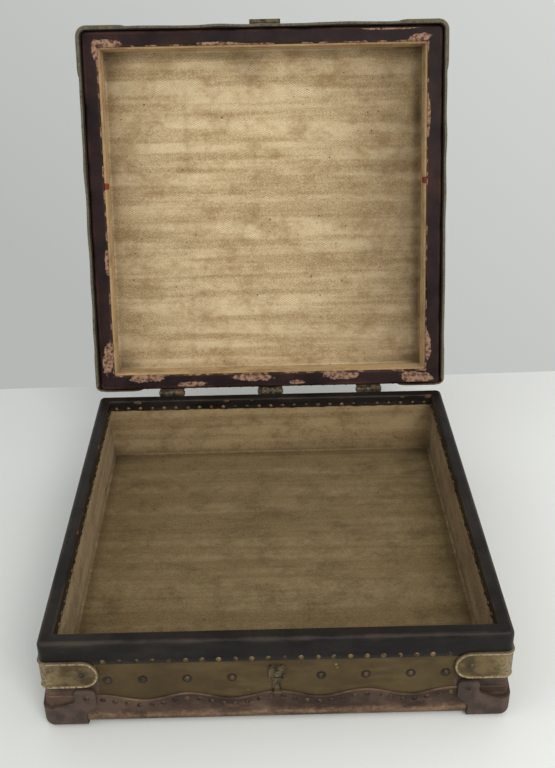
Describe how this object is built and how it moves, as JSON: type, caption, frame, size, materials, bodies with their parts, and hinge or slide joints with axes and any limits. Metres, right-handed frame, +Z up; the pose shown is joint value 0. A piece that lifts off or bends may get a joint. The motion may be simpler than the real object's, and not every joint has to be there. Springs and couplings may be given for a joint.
{
  "type": "hat box",
  "caption": "Square leather-bound hat box standing open, with a hinged lid, hasp, top handle and metal corners over olive canvas.",
  "frame": {"origin": "bottom centre of the open box's overall bounds, on the ground under its corner caps", "axes": "+Z up, front with the catch towards -Y, hinges along X"},
  "size_m": [0.449, 0.648, 0.5357],
  "materials": {
    "wood": "matte, unfinished",
    "canvas": "matte, worn olive canvas",
    "twill": "matte cotton twill",
    "black_leather": "satin, worn",
    "purple_leather": "satin, worn",
    "edge_leather": "satin, scuffed",
    "corner_leather": "satin",
    "dark_metal": "worn brown lacquer",
    "valance_fibre": "matte stiffened fibre",
    "dark_washers": "tarnished",
    "tape": "matte faded tape",
    "handle_leather": "satin",
    "tack_brass": "tarnished",
    "brass": "worn and tarnished"
  },
  "bodies": {
    "base": {"base_back_board": "wood", "base_bottom_board": "wood", "base_canvas_cover": "canvas", "base_canvas_nails": "tack_brass", "base_cap_back_left": "dark_metal", "base_cap_back_right": "dark_metal", "base_cap_front_left": "dark_metal", "base_cap_front_right": "dark_metal", "base_clamp_back_left": "brass", "base_clamp_back_right": "brass", "base_clamp_front_left": "brass", "base_clamp_front_right": "brass", "base_corner_leathers": "corner_leather", "base_corner_nails": "tack_brass", "base_edge_binding": "edge_leather", "base_edge_tacks": "tack_brass", "base_floor_lining": "twill", "base_front_board": "wood", "base_left_board": "wood", "base_nail_washers": "dark_washers", "base_right_board": "wood", "base_rim_binding": "black_leather", "base_rim_tacks": "tack_brass", "base_turned_tacks": "tack_brass", "base_wall_lining": "twill", "catch_plate": "brass", "catch_stud": "brass", "hinge_base_leaf_left": "brass", "hinge_base_leaf_middle": "brass", "hinge_base_leaf_right": "brass", "hinge_base_screws": "tack_brass", "hinge_pins": "brass"},
    "lid": {"handle_brackets": "brass", "handle_pins": "brass", "hasp_pin": "brass", "hasp_plate": "brass", "hinge_lid_leaf_left": "brass", "hinge_lid_leaf_middle": "brass", "hinge_lid_leaf_right": "brass", "hinge_lid_screws": "tack_brass", "lid_back_board": "wood", "lid_canvas_cover": "canvas", "lid_caps": "dark_metal", "lid_clamps": "brass", "lid_corner_leathers": "corner_leather", "lid_corner_nails": "tack_brass", "lid_edge_binding": "edge_leather", "lid_front_board": "wood", "lid_left_board": "wood", "lid_panel_lining": "twill", "lid_right_board": "wood", "lid_rim_binding": "purple_leather", "lid_stay_tapes": "tape", "lid_tacks": "tack_brass", "lid_top_board": "wood", "lid_valance": "valance_fibre", "lid_wall_lining": "twill"},
    "hasp": {"hasp": "brass"},
    "handle": {"handle": "handle_leather"}
  },
  "joints": [
    {"name": "lid_hinge", "type": "hinge", "parent": "base", "child": "lid", "pos_m": [0, 0.1257, 0.10525], "axis": [1, 0, 0], "range_deg": [0, 108.3]},
    {"name": "hasp_hinge", "type": "hinge", "parent": "lid", "child": "hasp", "pos_m": [0.003, 0.27097, 0.53255], "axis": [1, 0, 0], "range_deg": [0, 180]},
    {"name": "handle_hinge", "type": "hinge", "parent": "lid", "child": "handle", "pos_m": [0, 0.25112, 0.30023], "axis": [1, 0, 0], "range_deg": [-14, 158]}
  ]
}
